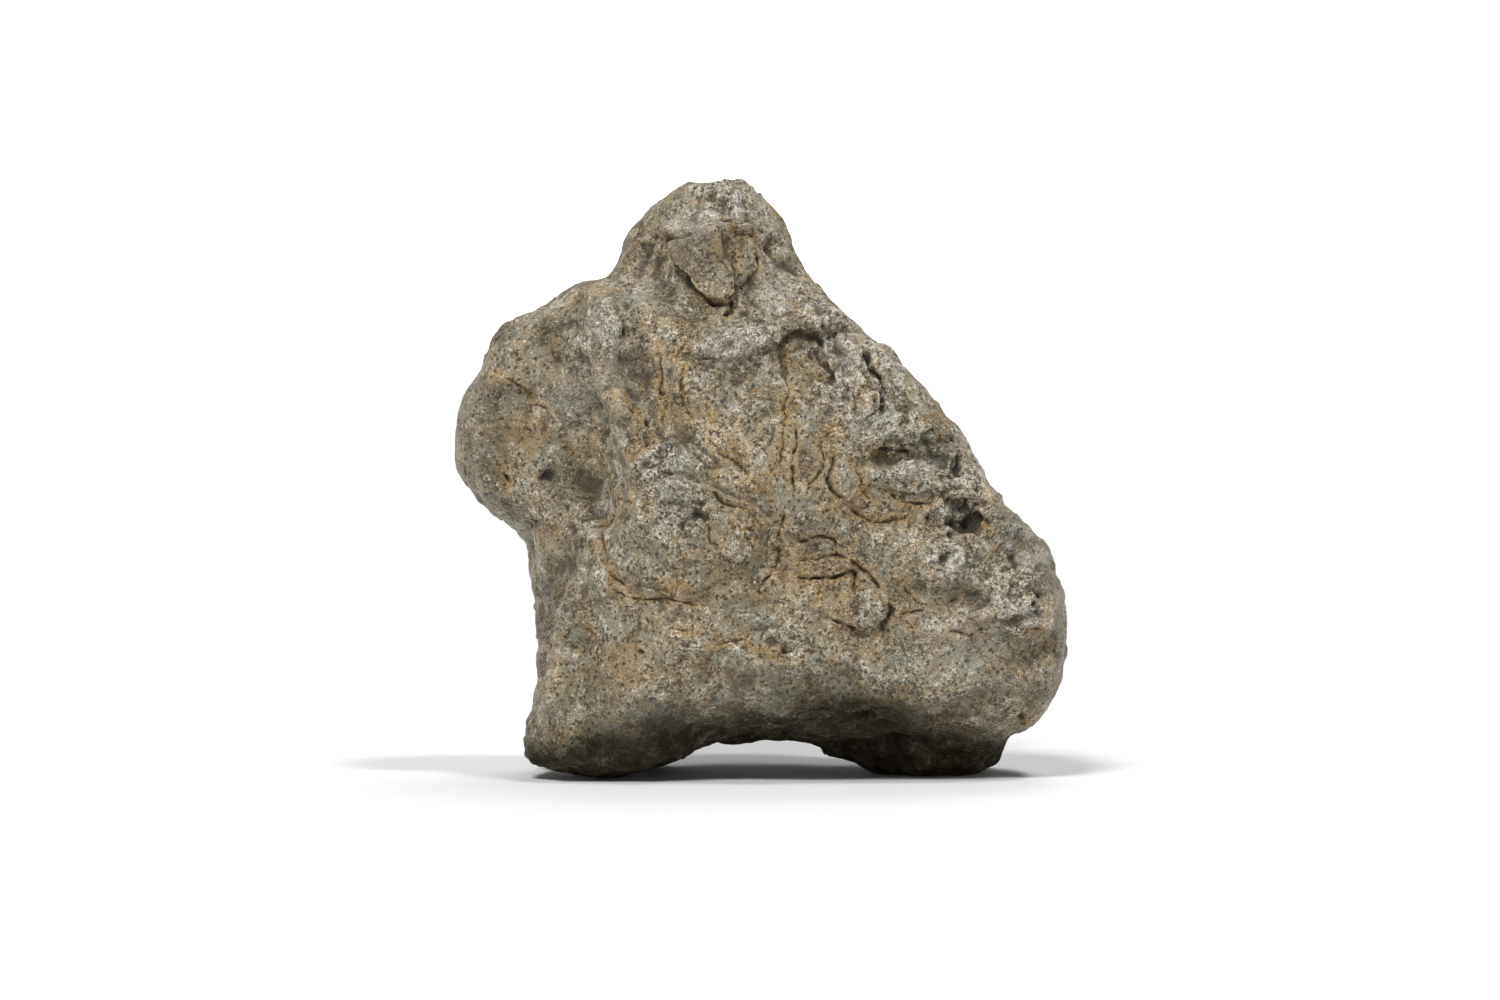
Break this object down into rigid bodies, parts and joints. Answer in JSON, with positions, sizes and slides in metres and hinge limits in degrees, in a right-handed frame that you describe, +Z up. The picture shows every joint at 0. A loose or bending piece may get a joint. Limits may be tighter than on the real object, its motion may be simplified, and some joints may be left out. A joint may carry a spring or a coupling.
{
  "type": "lunar meteorite",
  "caption": "Small irregular wind-polished stone with a knob on top, a lobe on one side and a hollow underneath between its feet, for display standing on a flat surface.",
  "frame": {"origin": "on the surface that the stone rests on, under the middle of its bounding box", "axes": "+Z up, +X to the right in the picture's view, +Y away from the viewer, along the stone's shortest extent"},
  "size_m": [0.0254, 0.0174, 0.0248],
  "materials": {
    "stone": "wind-polished, semi-gloss"
  },
  "bodies": {
    "root": {"meteorite": "stone"}
  },
  "joints": []
}
